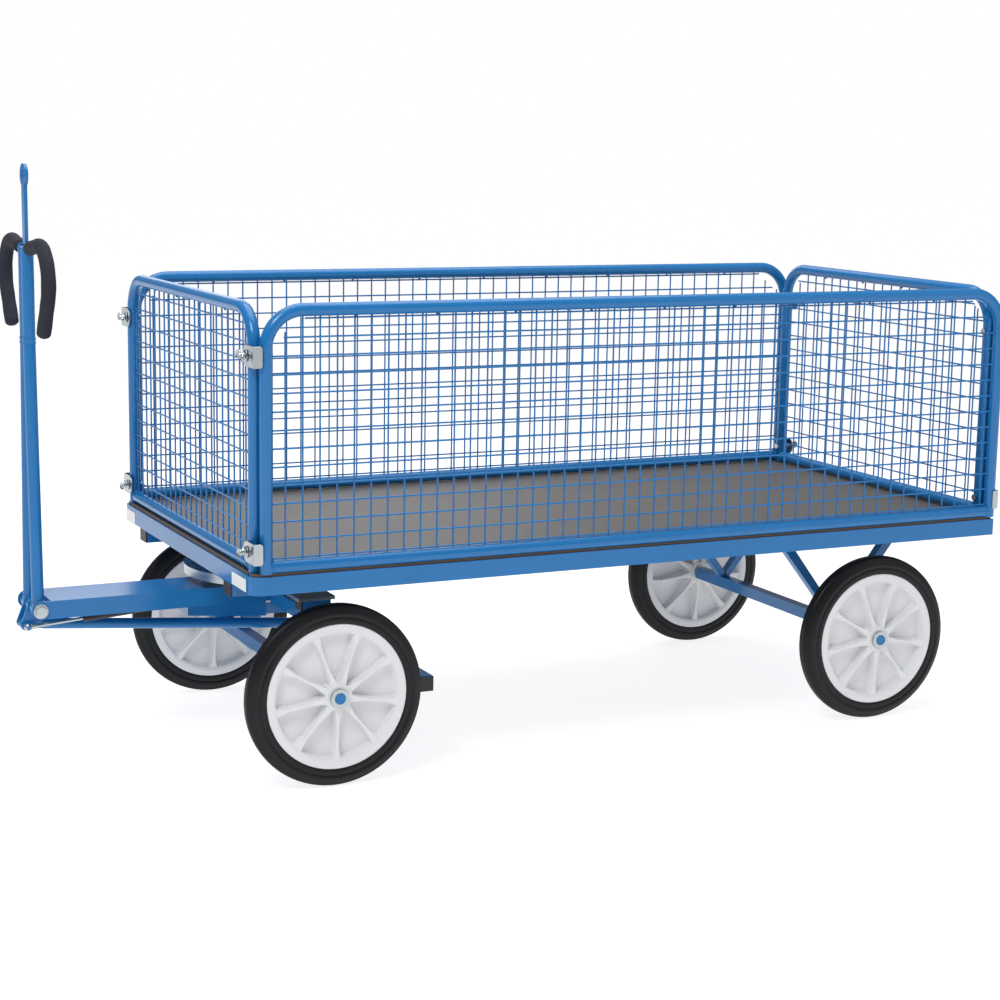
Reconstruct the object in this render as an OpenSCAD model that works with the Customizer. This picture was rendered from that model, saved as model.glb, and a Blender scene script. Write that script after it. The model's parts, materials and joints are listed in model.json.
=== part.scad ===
// Four-wheeled platform truck with turntable steering, upright drawbar,
// drawbar-operated tyre brake and four lift-off wire-mesh panels.
// +X points from the drawbar towards the tail, +Z up, floor at z = 0.

/* [Load bed] */
// Length of the load bed
bed_l = 2000; // [1600:10:2400]
// Width of the load bed
bed_w = 1000; // [830:10:1200]
// Height of the top edge of the bed frame above the floor
bed_z = 504; // [490:1:620]
// Height of the bed frame's side bars
frame_h = 41; // [35:1:50]
// Thickness of the bed frame's side bars
frame_t = 5; // [3:0.5:6]
// Outside radius of the two front corners of the frame
corner_r = 30; // [22:1:36]
// Width of the ledge that the board lies on
ledge_w = 34; // [25:1:40]
// Thickness of the plywood board
board_t = 15; // [12:1:18]
// Height of the board above the frame's top edge
board_proud = 6; // [3:0.5:8]

/* [Mesh panels] */
// Height from the board to the top of the panels
panel_h = 586; // [400:2:800]
// Outside diameter of the panel tube
tube_d = 29; // [25:0.5:32]
// Wall of the panel tube
tube_wall = 2; // [1.5:0.25:3]
// Centre-line radius of the panels' top corners
bend_r = 85; // [60:1:100]
// Spacing of the mesh wires
mesh_pitch = 40; // [36:1:48]
// Diameter of the mesh wires
wire_d = 4; // [3:0.25:5]
// Distance of the long panels' plane from the side of the bed
side_inset = 8; // [6:0.5:14]
// Distance of the end panels' planes from the ends of the bed
end_inset = 20; // [20:0.5:30]
// Distance of the long panels' front posts from the front of the bed
side_front_inset = 35; // [33:0.5:45]
// Distance of the long panels' rear posts from the rear end of the bed
side_rear_inset = 12; // [10:0.5:20]
// Gap between the end panels' posts and the long panels' posts
post_gap = 1; // [0.5:0.5:4]
// Gap under the end panels' bottom rail
end_rail_gap = 2; // [1:0.5:10]

/* [Corner clamps] */
// Height of the upper clamps' centres above the board
clamp_high = 473; // [300:1:560]
// Height of the lower clamps' centres above the board
clamp_low = 46; // [40:1:120]
// Height of a clamp plate
clamp_h = 47; // [36:1:56]
// Sheet thickness of the clamps
clamp_t = 3; // [2:0.5:4]
// Diameter of the clamp bolts
clamp_bolt_d = 8; // [6:1:10]
// Diameter of the clamp knobs
knob_d = 26; // [22:1:32]

/* [Wheels] */
// Diameter of the wheels over the tyres
wheel_d = 420; // [350:5:460]
// Width of the tyres
tyre_w = 52; // [42:1:60]
// Outside diameter of the rims
rim_d = 334; // [270:2:380]
// Thickness of the rim's barrel
barrel_t = 16; // [10:1:20]
// Thickness of the rim's web
web_t = 8; // [6:1:14]
// Outside diameter of the hub
hub_d = 66; // [56:1:80]
// Length of the hub
hub_l = 78; // [66:1:90]
// Number of spokes on each side of a rim
spokes = 9; // [6:1:12]
// Width of a spoke
spoke_w = 8; // [6:1:12]
// Diameter of the round axle ends
axle_d = 25; // [20:1:30]
// Side of the square axle tubes
axle_sq = 30; // [28:1:40]
// Distance between the outer faces of the wheels on one axle
track = 936; // [780:2:1130]
// Distance from the front end of the bed to the front axle
front_axle_in = 212; // [211:1:400]
// Distance from the rear end of the bed to the rear axle
rear_axle_in = 323; // [240:1:500]
// Outside diameter of the zinc-plated axle collars
collar_d = 44; // [36:1:52]
// Thickness of the axle collars
collar_t = 8; // [4:0.5:10]

/* [Turntable and bogie] */
// Outside diameter of the slewing ring
ring_d = 400; // [340:5:410]
// Height of one half of the slewing ring
ring_h = 11; // [9:1:14]
// Diameter of the balls between the two halves
ball_d = 8; // [6:1:9]
// Number of balls in the slewing ring
ball_n = 36; // [24:2:48]
// Width of the two rails under the front of the bed
rail_w = 50; // [40:1:60]
// Height of those rails
rail_h = 30; // [25:1:40]
// Distance between the centre lines of the rails
rail_pitch = 660; // [600:5:700]
// Side of the bogie's square tubes
bogie_sq = 35; // [30:1:40]
// Length of the bogie's cross-beam
beam_l = 700; // [640:5:740]
// Distance between the centre lines of the bogie's legs
leg_pitch = 640; // [600:5:680]
// Height of the side bearers on the cross-beam
bearer_h = 24; // [20:1:30]

/* [Drawbar arm] */
// Distance from the front axle to the drawbar's pivot
arm_reach = 568; // [520:2:700]
// Height of the drawbar's pivot above the axle
pivot_rise = 159; // [150:1:170]
// Width of the arm channel
arm_w = 140; // [120:1:150]
// Depth of the arm channel
arm_h = 42; // [38:1:48]
// Sheet thickness of the arm channel
arm_t = 4; // [3:0.5:5]
// Diameter of the drawbar's pivot bolt
pivot_d = 16; // [12:1:20]

/* [Drawbar] */
// Height of the towing eye above the pivot
drawbar_l = 980; // [800:5:1200]
// Diameter of the drawbar tubes
bar_d = 28; // [24:1:30]
// Distance between the two tubes at the foot
foot_pitch = 86; // [70:1:94]
// Height above the pivot at which the two tubes meet
join_h = 612; // [450:2:700]
// Height above the pivot of the tubes' top end
bar_top = 818; // [700:2:900]
// Outside diameter of the towing eye
eye_d = 52; // [46:1:60]
// Hole of the towing eye
eye_hole = 26; // [20:1:30]
// Thickness of the towing eye's flat bar
eye_t = 8; // [6:1:12]
// Width of the towing eye's flat bar
eye_bar_w = 25; // [20:1:30]
// Radius of the handles' bends
handle_r = 78; // [60:1:90]
// Diameter of the handle bar
handle_d = 20; // [16:1:24]
// Diameter of the foam grips
grip_d = 33; // [28:1:38]
// Horizontal offset of the lever pin in front of the pivot
lever_dx = 24; // [15:1:30]
// Drop of the lever pin below the pivot
lever_dz = 41; // [36:1:46]

/* [Brake and gas spring] */
// Outside diameter of the brake's pull tube
brake_tube_d = 25; // [20:1:27]
// Side of the brake bar
brake_sq = 35; // [30:1:40]
// Length of the brake bar
brake_l = 880; // [780:5:930]
// Gap between the brake bar and the tyres at rest
brake_gap = 1.5; // [1:0.5:5]
// Diameter of the gas spring's cylinder
gas_d = 18; // [14:1:20]
// Diameter of the gas spring's rod
gas_rod_d = 8; // [6:1:10]
// Distance from the drawbar's pivot back to the gas spring's rear anchor
gas_back = 356; // [300:2:400]

/* [Hidden] */
$fn = 64;

// Paint, board, zinc, foam and plastic colours
blue = [0.16, 0.42, 0.68];
zinc = [0.75, 0.77, 0.78];
board_brown = [0.38, 0.33, 0.30];
dark_plastic = [0.12, 0.12, 0.12];
rim_white = [0.93, 0.93, 0.93];
rubber = [0.13, 0.13, 0.14];

// Gaps that the whole model shares
seat = 0.3;
run = 0.05;
hair = 0.5;

// Heights
board_top = bed_z + board_proud;
board_low = board_top - board_t;
frame_low = bed_z - frame_h;
axle_z = wheel_d / 2;
pivot_z = axle_z + pivot_rise;

// Lengthwise places, measured from the middle of the bed
front_end = -bed_l / 2;
rear_end = bed_l / 2;
front_axle_x = front_end + front_axle_in;
rear_axle_x = rear_end - rear_axle_in;
pivot_x = front_axle_x - arm_reach;
front_panel_x = front_end + end_inset;
rear_panel_x = rear_end - end_inset;
side_front_x = front_end + side_front_inset;
side_rear_x = rear_end - side_rear_inset;

// Crosswise places
tube_r = tube_d / 2;
side_y = bed_w / 2 - side_inset;
end_post_y = side_y - tube_d - post_gap;

// Panel heights
side_rail_z = board_top + seat + tube_r;
end_rail_z = board_top + end_rail_gap + tube_r;
top_rail_z = board_top + panel_h - tube_r;
mesh_low = board_top + 33;
end_mesh_low = mesh_low + 0.62 * mesh_pitch;

// Corner clamps
clamp_gap = 0.3;
knob_base = 5;
knob_l = 17;
front_plate_x = front_panel_x - tube_r - clamp_gap - clamp_t;
rear_plate_x = max(rear_panel_x, side_rear_x) + tube_r + clamp_gap;
clamp_lip = 20;
clamp_in = 26;
rivet_hole_d = 6;
head_d = 16;
head_h = 4;

// Wheels: side faces, hub ends and axle ends
wheel_y = track / 2 - tyre_w / 2;
hub_out = track / 2 + 8;
hub_in = hub_out - hub_l;
beam_end = hub_in - 4;
axle_out = hub_out + hair + collar_t + 2;
rim_r = min(rim_d, wheel_d - 76) / 2;
tyre_r = wheel_d / 2;

// Bed frame sockets for the end panels' posts
socket_wall = 3;
socket_r = tube_r + 0.4 + socket_wall;
socket_low = frame_low + 2;
socket_gap = 0.4;
socket_floor = 4;

// Front labels, rear struts
label_t = 0.8;
label_w = 94;
label_h = 28;
strut_y = 275;
strut_w = 25;
strut_run = 190;

// Under-frame
member_h = board_low - 4 - frame_low;
member_w = 40;
tube_wall_sq = 3;
rail_low = frame_low - rail_h;
rail_l = 430;
cap_t = 4;
ring_r = ring_d / 2;
ring_top = rail_low;
ring_mid = ring_top - ring_h;
ring_low = ring_mid - ring_h;
ring_band = 44;
race_r = ring_r - ring_band / 2;
bearer_x = 150;

// Bogie
plate_t = 8;
plate_w = 90;
plate_l = 670;
plate_low = ring_low - plate_t;
beam_top = plate_low - bearer_h;
beam_low = beam_top - bogie_sq;
bearer_y = 310;
bearer_w = 40;
bearer_l = 64;
leg_top = beam_low;
axle_top = axle_z + axle_sq / 2;
guide_y = 285;
guide_t = 8;
guide_h = 28;
guide_low = axle_top + 5;
guide_wall = 4;
guide_l = 50;
guide_x = front_axle_x + 30;

// Arm channel
arm_top = pivot_z + arm_h / 2 + 1;
arm_low = arm_top - arm_h;
arm_rear = front_axle_x + 88;
arm_in = arm_w / 2 - arm_t;
web_front = pivot_x + 24;
brace_front = front_axle_x - 212;
brace_rear = front_axle_x - bogie_sq / 2;
brace_w = 76;
brace_drop_front = 28;
brace_drop_rear = 44;

// Drawbar
foot_r = 17;
foot_l = 2 * arm_in - 2 * hair;
join_y = bar_d / 2 + 0.2;
lever_t = 6;
lever_y = 17;
pin_d = 12;
lever_eye_r = 12;
cap_plate = 6;
handle_z = pivot_z + 816;
handle_out = 116;
handle_rise = 8;
handle_turn = 128;
handle_tail = 93;

// Gas spring
gas_y = -42;
gas_rear_drop = 10;
ball_r = 9;
gas_rod_l = 128;
gas_pin_d = 9;

// Brake
lever_x = pivot_x - lever_dx;
lever_z = pivot_z - lever_dz;
brake_x = front_axle_x + tyre_r + brake_gap + brake_sq / 2;
brake_z = axle_z;
lug_x = brake_x - 18;
lug_z = brake_z + 50;
lug_gap = 0.4;

// Overall reach, and the shift that puts the origin under its middle
reach_front = lever_x - lever_eye_r;
reach_rear = rear_plate_x + clamp_t + knob_l + 2;
shift_x = -(reach_front + reach_rear) / 2;

// ---------- shared shapes ----------

module in_place() { translate([shift_x, 0, 0]) children(); }

// Both sides of the truck, near (-Y) and far (+Y)
module both_sides() { for (s = [-1, 1]) scale_y(s) children(); }
module scale_y(s) { if (s > 0) children(); else mirror([0, 1, 0]) children(); }
module scale_x(s) { if (s > 0) children(); else mirror([1, 0, 0]) children(); }

// A bar from a to b along X, Y or Z
module box(a, b) { translate(a) cube(b - a); }

// Round bar along Y, centred on [x, z], between y0 and y1
module rod_y(x, z, y0, y1, d) { translate([x, y1, z]) rotate([90, 0, 0]) cylinder(d = d, h = y1 - y0); }

// Round bar along X from x0 to x1
module rod_x(x0, x1, y, z, d) { translate([x0, y, z]) rotate([0, 90, 0]) cylinder(d = d, h = x1 - x0); }

// Square or rectangular tube along X, Y or Z
module tube_x(x0, x1, y, z, w, h, t) {
    difference() {
        box([x0, y - w / 2, z - h / 2], [x1, y + w / 2, z + h / 2]);
        box([x0 - 1, y - w / 2 + t, z - h / 2 + t], [x1 + 1, y + w / 2 - t, z + h / 2 - t]);
    }
}
module tube_y(x, y0, y1, z, w, h, t) {
    difference() {
        box([x - w / 2, y0, z - h / 2], [x + w / 2, y1, z + h / 2]);
        box([x - w / 2 + t, y0 - 1, z - h / 2 + t], [x + w / 2 - t, y1 + 1, z + h / 2 - t]);
    }
}
module tube_z(x, y, z0, z1, w, t) {
    difference() {
        box([x - w / 2, y - w / 2, z0], [x + w / 2, y + w / 2, z1]);
        box([x - w / 2 + t, y - w / 2 + t, z0 - 1], [x + w / 2 - t, y + w / 2 - t, z1 + 1]);
    }
}

// Flat link outline: a circle of radius ra at the origin and one of rb at [d, 0], with a straight-sided
// bridge between them that enters both circles just inside the tangents
module link_2d(ra, rb, d) {
    a = acos((ra - rb) / d);
    k = 0.97;
    circle(r = ra);
    translate([d, 0]) circle(r = rb);
    polygon([
        [k * ra * cos(a), k * ra * sin(a)], [d + k * rb * cos(a), k * rb * sin(a)],
        [d + k * rb * cos(a), -k * rb * sin(a)], [k * ra * cos(a), -k * ra * sin(a)]
    ]);
}

// Flat plate in the XZ plane from p to q, from y0 to y1
module link_plate(p, q, ra, rb, y0, y1) {
    d = norm(q - p);
    translate([p[0], y1, p[1]]) rotate([90, 0, 0])
        rotate(atan2(q[1] - p[1], q[0] - p[0])) linear_extrude(y1 - y0) link_2d(ra, rb, d);
}

// ---------- bed ----------

module bed_outline(inset) {
    r = corner_r - inset;
    x0 = front_end + inset;
    x1 = rear_end - inset;
    w = bed_w / 2 - inset;
    translate([x0 + r, -w]) square([x1 - x0 - r, 2 * w]);
    translate([x0, -w + r]) square([r + 1, 2 * (w - r)]);
    for (s = [-1, 1]) translate([x0 + r, s * (w - r)]) circle(r = r);
}

module deck_frame() {
    color(blue) in_place() difference() {
        translate([0, 0, frame_low]) linear_extrude(frame_h) bed_outline(0);
        translate([0, 0, board_low]) linear_extrude(frame_h) bed_outline(frame_t);
        translate([0, 0, frame_low - 1]) linear_extrude(frame_h)
            square([bed_l - 2 * ledge_w, bed_w - 2 * ledge_w], center = true);
        translate([0, 0, frame_low - 1]) linear_extrude(board_low - 4 - frame_low + 1) bed_outline(frame_t);
        at_end_posts() translate([0, 0, board_low - 5]) cylinder(r = tube_r + 0.6, h = 6);
    }
}

module at_end_posts() {
    for (s = [-1, 1], x = [front_panel_x, rear_panel_x]) translate([x, s * end_post_y, 0]) children();
}

// Sockets for the end panels' posts, open towards the end of the bed, where the frame closes them
module corner_sockets() {
    color(blue) in_place() difference() {
        at_end_posts() translate([0, 0, socket_low]) cylinder(r = socket_r, h = board_low - 4.5 - socket_low);
        at_end_posts() translate([0, 0, socket_low + socket_floor]) cylinder(r = tube_r + socket_gap, h = frame_h);
        for (s = [-1, 1]) translate([s * (bed_l / 2 - end_inset + 10), -bed_w, frame_low])
            scale_x(s) cube([frame_h, 2 * bed_w, frame_h]);
    }
}

module deck_board() {
    color(board_brown) in_place() difference() {
        translate([0, 0, board_low + 0.05]) linear_extrude(board_t - 0.05) bed_outline(frame_t + 0.5);
        at_end_posts() translate([0, 0, board_low - 1]) cylinder(r = tube_r + 1, h = board_t + 2);
    }
}

module cross_members() {
    z = frame_low + member_h / 2;
    half = bed_w / 2 - frame_t - seat;
    color(blue) in_place() for (x = [front_axle_x - bearer_x, front_axle_x + bearer_x,
                                     rear_axle_x - strut_run - 560, rear_axle_x - strut_run, rear_axle_x + strut_run])
        tube_y(x, -half, half, z, member_w, member_h, tube_wall_sq);
}

module deck_rails() {
    color(blue) in_place() both_sides()
        tube_x(front_end + cap_t, front_end + cap_t + rail_l, rail_pitch / 2, frame_low - rail_h / 2,
               rail_w, rail_h, tube_wall_sq);
}

// Plastic end cap for a tube of outside size w by h, at the tube's end, facing -X
module end_cap_x(w, h) {
    box([-cap_t, -w / 2, -h / 2], [0, w / 2, h / 2]);
    box([0, -w / 2 + tube_wall_sq + 0.1, -h / 2 + tube_wall_sq + 0.1],
        [10, w / 2 - tube_wall_sq - 0.1, h / 2 - tube_wall_sq - 0.1]);
}

module rail_caps() {
    z = frame_low - rail_h / 2;
    color(dark_plastic) in_place() both_sides() {
        translate([front_end + cap_t, rail_pitch / 2, z]) end_cap_x(rail_w, rail_h);
        translate([front_end + cap_t + rail_l, rail_pitch / 2, z]) mirror([1, 0, 0]) end_cap_x(rail_w, rail_h);
    }
}

module ring_bearers() {
    half = rail_pitch / 2 - rail_w / 2;
    color(blue) in_place() for (s = [-1, 1])
        tube_y(front_axle_x + s * bearer_x, -half, half, frame_low - rail_h / 2, member_w, rail_h, tube_wall_sq);
}

// One half of the slewing ring: a flat ring with half of the ball race in its inner face
module half_ring(z0, race_z) {
    translate([front_axle_x, 0, 0]) difference() {
        translate([0, 0, z0]) cylinder(r = ring_r, h = ring_h - hair / 2, $fn = 128);
        translate([0, 0, z0 - 1]) cylinder(r = ring_r - ring_band, h = ring_h + 2, $fn = 128);
        translate([0, 0, race_z]) rotate_extrude($fn = 128) translate([race_r, 0]) circle(d = ball_d + 2 * run, $fn = 32);
    }
}

module ring_upper() { color(zinc) in_place() half_ring(ring_mid + hair / 2, ring_mid); }

module race_balls() {
    color(zinc) in_place() translate([front_axle_x, 0, ring_mid])
        for (i = [0 : ball_n - 1]) rotate(i * 360 / ball_n) translate([race_r, 0, 0]) sphere(d = ball_d, $fn = 24);
}

// Axle: square tube with a round end through each hub
module axle(x) {
    difference() {
        box([x - axle_sq / 2, -beam_end, axle_z - axle_sq / 2], [x + axle_sq / 2, beam_end, axle_z + axle_sq / 2]);
        box([x - axle_sq / 2 + tube_wall_sq, -beam_end + 20, axle_z - axle_sq / 2 + tube_wall_sq],
            [x + axle_sq / 2 - tube_wall_sq, beam_end - 20, axle_z + axle_sq / 2 - tube_wall_sq]);
    }
    both_sides() rod_y(x, axle_z, beam_end - 1, axle_out, axle_d);
}

// Inner washer and outer retaining collar on each end of an axle
module collars(x) {
    both_sides() {
        difference() {
            rod_y(x, axle_z, beam_end + 0.2, beam_end + 3, collar_d);
            rod_y(x, axle_z, beam_end - 1, beam_end + 4, axle_d + 0.1);
        }
        difference() {
            rod_y(x, axle_z, hub_out + hair, hub_out + hair + collar_t, collar_d);
            rod_y(x, axle_z, hub_out, hub_out + collar_t + 2, axle_d + 0.1);
        }
    }
}

module rear_axle() { color(blue) in_place() axle(rear_axle_x); }
module rear_collars() { color(zinc) in_place() collars(rear_axle_x); }

// Two struts on each side run from the axle up to the cross-members
module rear_struts() {
    low = axle_top;
    high = frame_low;
    color(blue) in_place() both_sides() for (s = [-1, 1])
        translate([rear_axle_x, strut_y - strut_w / 2, 0]) rotate([90, 0, 0]) mirror([0, 0, 1])
            linear_extrude(strut_w) polygon([
                [s * 2, low], [s * (2 + strut_w / 2), low],
                [s * (strut_run + strut_w * 0.65), high], [s * (strut_run - strut_w * 0.65), high],
                [s * 2, low + strut_w * 0.6]
            ]);
}

// Two plain white stickers on the front bar, without any print
module blank_labels() {
    z = bed_z - 10 - label_h;
    color(rim_white) in_place() {
        box([front_end - label_t, -bed_w / 2 + 40, z], [front_end - 0.01, -bed_w / 2 + 40 + label_w, z + label_h]);
        box([front_end - label_t, bed_w / 2 - 101, z - 1], [front_end - 0.01, bed_w / 2 - 31, z - 1 + label_h]);
    }
}

// ---------- mesh panels ----------

// Inverted U of round bar from [u0, z0] over [.., z1] to [u1, z0], bend radius r, in the XZ plane
module u_bar(u0, u1, z0, z1, r, d) {
    for (u = [u0, u1]) translate([u, 0, z0]) cylinder(d = d, h = z1 - r - z0);
    rod_x(u0 + r, u1 - r, 0, z1, d);
    for (k = [0, 1]) translate([k == 0 ? u0 + r : u1 - r, 0, z1 - r]) rotate([90, 0, 0])
        rotate(k == 0 ? 90 : 0) rotate_extrude(angle = 90) translate([r, 0]) circle(d = d);
}

// Panel frame: inverted U with a bottom rail between its posts
module panel_frame(u0, u1, foot, rail_z) {
    bore = tube_d - 2 * tube_wall;
    difference() {
        union() {
            u_bar(u0, u1, foot, top_rail_z, bend_r, tube_d);
            rod_x(u0, u1, 0, rail_z, tube_d);
        }
        u_bar(u0, u1, foot - 1, top_rail_z, bend_r, bore);
        rod_x(u0, u1, 0, rail_z, bore);
    }
}

// Lowest free point under the top bend at a distance e from the post's centre line
function bend_low(e) =
    let (inner = bend_r - tube_r)
    e >= bend_r ? top_rail_z - tube_r
    : top_rail_z - bend_r + sqrt(max(0, inner * inner - (bend_r - e) * (bend_r - e)));

// Welded mesh: upright wires in one layer, level wires in the next, all ending at the tubes
module mesh(u0, u1, rail_z, z_first) {
    edge = tube_r + wire_d;
    low = rail_z + tube_r + 0.1;
    for (i = [ceil((u0 + edge) / mesh_pitch) : floor((u1 - edge) / mesh_pitch)]) {
        u = i * mesh_pitch;
        e = min(u - u0, u1 - u);
        top = bend_low(e) - (e < bend_r ? mesh_pitch / 2 : 0.1);
        translate([u, -wire_d / 2 - 0.02, low]) cylinder(d = wire_d, h = top - low, $fn = 16);
    }
    rows = floor((top_rail_z - tube_r - wire_d / 2 - z_first) / mesh_pitch);
    inner = bend_r - tube_r;
    for (k = [0 : rows]) {
        z = z_first + k * mesh_pitch;
        dz = z + wire_d / 2 - (top_rail_z - bend_r);
        bend_in = bend_r - sqrt(max(0, inner * inner - dz * dz));
        cut = dz <= 0 ? tube_r : dz > mesh_pitch / 2 + wire_d / 2 ? bend_in + mesh_pitch / 2 : bend_in;
        rod_x(u0 + cut + 0.1, u1 - cut - 0.1, wire_d / 2 + 0.02, z, wire_d, $fn = 16);
    }
}

module end_panel(x) { translate([x, 0, 0]) rotate(90) children(); }
module side_panel(s) { translate([0, s * side_y, 0]) children(); }

// Holes for the clamp bolts in the end panels' posts
module clamp_holes(x) {
    for (s = [-1, 1], h = [clamp_low, clamp_high])
        rod_x(x - tube_d, x + tube_d, s * end_post_y, board_top + h, clamp_bolt_d + 2 * run);
}

module end_panel_frame(x) {
    color(blue) in_place() difference() {
        end_panel(x) panel_frame(-end_post_y, end_post_y, socket_low + socket_floor + seat, end_rail_z);
        clamp_holes(x);
    }
}
module front_panel_frame() { end_panel_frame(front_panel_x); }
module rear_panel_frame() { end_panel_frame(rear_panel_x); }

module side_panel_frame(s) {
    color(blue) in_place() side_panel(s)
        panel_frame(side_front_x, side_rear_x, board_top + seat, side_rail_z);
}
module near_panel_frame() { side_panel_frame(-1); }
module far_panel_frame() { side_panel_frame(1); }

module end_mesh(x) {
    color(blue) in_place() end_panel(x) mesh(-end_post_y, end_post_y, end_rail_z, end_mesh_low);
}
module front_mesh() { end_mesh(front_panel_x); }
module rear_mesh() { end_mesh(rear_panel_x); }

module side_mesh(s) {
    color(blue) in_place() side_panel(s) scale_y(s)
        mesh(side_front_x, side_rear_x, side_rail_z, mesh_low);
}
module near_mesh() { side_mesh(-1); }
module far_mesh() { side_mesh(1); }

// ---------- corner clamps ----------

// Clamp at one corner, seen facing -X: a plate across both posts and a lip round the outer one
module clamp(plate_x, h) {
    outer = side_y + tube_r + clamp_gap + clamp_t;
    inner = end_post_y - clamp_in;
    z = board_top + h;
    difference() {
        union() {
            box([plate_x, inner + clamp_h / 2, z - clamp_h / 2], [plate_x + clamp_t, outer, z + clamp_h / 2]);
            rod_x(plate_x, plate_x + clamp_t, inner + clamp_h / 2, z, clamp_h);
            box([plate_x, outer - clamp_t, z - clamp_h / 2], [plate_x + clamp_lip, outer, z + clamp_h / 2]);
        }
        rod_x(plate_x - 1, plate_x + clamp_t + 1, end_post_y, z, clamp_bolt_d + 2 * run);
        rod_x(plate_x - 1, plate_x + clamp_t + 1, side_y, z, rivet_hole_d);
    }
}

module clamps(plate_x, turn) {
    for (h = [clamp_low, clamp_high]) both_sides() translate([plate_x, 0, 0])
        if (turn) mirror([1, 0, 0]) clamp(-clamp_t, h); else clamp(0, h);
}
module front_clamps() { color(zinc) in_place() clamps(front_plate_x, false); }
module rear_clamps() { color(zinc) in_place() clamps(rear_plate_x, true); }

// Carriage bolts through the end panels' posts, heads on the inside
module clamp_bolts(post_x, plate_x, dir) {
    head = post_x - dir * tube_r;
    tip = dir < 0 ? plate_x - knob_l - 2 : plate_x + clamp_t + knob_l + 2;
    face = dir < 0 ? plate_x + clamp_t : plate_x;
    spacer = abs(face - post_x) - tube_r - 0.1;
    for (s = [-1, 1], h = [clamp_low, clamp_high]) {
        z = board_top + h;
        rod_x(min(head, tip), max(head, tip), s * end_post_y, z, clamp_bolt_d);
        rod_x(min(head, head - dir * head_h), max(head, head - dir * head_h), s * end_post_y, z, head_d);
        if (spacer > 1) translate([face - dir * 0.1, s * end_post_y, z]) scale_x(-dir) rod_x(0, spacer - 0.1, 0, 0, head_d);
    }
}
module front_clamp_bolts() { color(zinc) in_place() clamp_bolts(front_panel_x, front_plate_x, -1); }
module rear_clamp_bolts() { color(zinc) in_place() clamp_bolts(rear_panel_x, rear_plate_x, 1); }

// Winged knob, its base at the origin, facing -X
module knob() {
    difference() {
        union() {
            rod_x(-knob_base, -0.2, 0, 0, knob_d);
            rod_x(-knob_l, -knob_base + 0.5, 0, 0, knob_d * 0.55);
            for (s = [-1, 1]) link_wing(s);
        }
        rod_x(-knob_l - 1, 1, 0, 0, clamp_bolt_d + 2 * run);
    }
}
module link_wing(s) {
    translate([-knob_l, 0, 0]) rotate([90, 0, 90]) translate([s * knob_d * 0.36, 0, 0])
        scale_x(s) link_cut();
}
module link_cut() { translate([0, 0, 3]) linear_extrude(4) link_2d(4, 6, knob_d * 0.28); }

module knob_at(front, s, h) {
    x = front ? front_plate_x : rear_plate_x + clamp_t;
    color(zinc) in_place() translate([x, s * end_post_y, board_top + h])
        if (front) knob(); else mirror([1, 0, 0]) knob();
}
module knob_front_near_low() { knob_at(true, -1, clamp_low); }
module knob_front_near_high() { knob_at(true, -1, clamp_high); }
module knob_front_far_low() { knob_at(true, 1, clamp_low); }
module knob_front_far_high() { knob_at(true, 1, clamp_high); }
module knob_rear_near_low() { knob_at(false, -1, clamp_low); }
module knob_rear_near_high() { knob_at(false, -1, clamp_high); }
module knob_rear_far_low() { knob_at(false, 1, clamp_low); }
module knob_rear_far_high() { knob_at(false, 1, clamp_high); }

// ---------- bogie ----------

module ring_lower() { color(zinc) in_place() half_ring(ring_low, ring_mid); }

module ring_plate() {
    color(zinc) in_place()
        box([front_axle_x - plate_w / 2, -plate_l / 2, plate_low], [front_axle_x + plate_w / 2, plate_l / 2, ring_low]);
}

module side_bearers() {
    color(blue) in_place() both_sides()
        tube_x(front_axle_x - bearer_l / 2, front_axle_x + bearer_l / 2, bearer_y, plate_low - bearer_h / 2,
               bearer_w, bearer_h, tube_wall_sq);
}
module bearer_caps() {
    color(dark_plastic) in_place() both_sides() for (s = [-1, 1])
        translate([front_axle_x + s * bearer_l / 2, bearer_y, plate_low - bearer_h / 2])
            scale_x(-s) end_cap_x(bearer_w, bearer_h);
}

// Cross-beam, the legs down to the axle, and the guides for the brake's slides
module bogie_frame() {
    beam_z = beam_low + bogie_sq / 2;
    color(blue) in_place() {
        both_sides() {
            tube_y(front_axle_x, arm_w / 2 + 0.1, beam_l / 2, beam_z, bogie_sq, bogie_sq, tube_wall_sq);
            tube_z(front_axle_x, leg_pitch / 2, axle_top, leg_top, axle_sq, tube_wall_sq);
            difference() {
                box([guide_x, guide_y - guide_t / 2 - guide_wall, axle_top - 4],
                    [guide_x + guide_l, guide_y + guide_t / 2 + guide_wall, guide_low + guide_h + guide_wall]);
                box([guide_x - 1, guide_y - guide_t / 2 - run, guide_low - run],
                    [guide_x + guide_l + 1, guide_y + guide_t / 2 + run, guide_low + guide_h + run]);
            }
            box([front_axle_x + axle_sq / 2 + 0.05, guide_y - guide_t / 2 - guide_wall, axle_top - 12],
                [guide_x + guide_l, guide_y + guide_t / 2 + guide_wall, axle_top - 4]);
        }
    }
}

module front_axle() { color(blue) in_place() axle(front_axle_x); }
module front_collars() { color(zinc) in_place() collars(front_axle_x); }

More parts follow.
